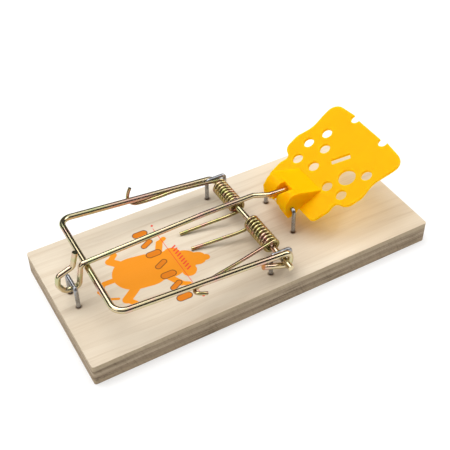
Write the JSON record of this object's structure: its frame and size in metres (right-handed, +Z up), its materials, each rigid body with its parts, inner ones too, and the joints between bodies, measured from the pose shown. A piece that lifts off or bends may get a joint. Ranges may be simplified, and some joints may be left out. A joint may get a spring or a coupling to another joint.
{
  "type": "snap mouse trap",
  "caption": "Set snap trap: plywood base, sprung wire hammer held under a hooked lock bar, and a wide holed trigger pedal on a staple.",
  "frame": {"origin": "middle of the base board's underside", "axes": "+X along the board towards the pedal end, +Y towards the rear long edge, +Z up"},
  "size_m": [0.178, 0.0794, 0.0474],
  "materials": {
    "face_ply": "raw, fine grained",
    "cross_ply": "sawn end grain",
    "core_ply": "sawn edge",
    "passivated_wire": "zinc plated and yellow passivated, glossy",
    "spring_wire": "zinc plated and yellow passivated, glossy",
    "staple_wire": "galvanised, drawn",
    "pedal_plastic": "moulded, slightly translucent"
  },
  "bodies": {
    "base": {"top_face_ply": "face_ply", "upper_cross_ply": "cross_ply", "core_ply": "core_ply", "lower_cross_ply": "cross_ply", "bottom_face_ply": "face_ply", "lock_bar_staple": "staple_wire", "rear_axle_staple": "staple_wire", "front_axle_staple": "staple_wire", "trigger_staple": "staple_wire"},
    "hammer": {"hammer": "passivated_wire", "rear_spring": "spring_wire", "front_spring": "spring_wire"},
    "lock_bar": {"lock_bar": "passivated_wire"},
    "pedal": {"trigger_pedal": "pedal_plastic"}
  },
  "joints": [
    {"name": "hammer_swing", "type": "hinge", "parent": "base", "child": "hammer", "pos_m": [0.0096, 0, 0.0205], "axis": [0, 1, 0], "range_deg": [0, 178], "deforming": ["rear_spring", "front_spring"]},
    {"name": "lock_bar_flip", "type": "hinge", "parent": "base", "child": "lock_bar", "pos_m": [-0.0805, -0.0012, 0.0231], "axis": [0, -1, 0], "range_deg": [0, 130]},
    {"name": "pedal_press", "type": "hinge", "parent": "base", "child": "pedal", "pos_m": [0.0287, -0.0007, 0.0252], "axis": [0, 1, 0], "range_deg": [0, 34]}
  ]
}
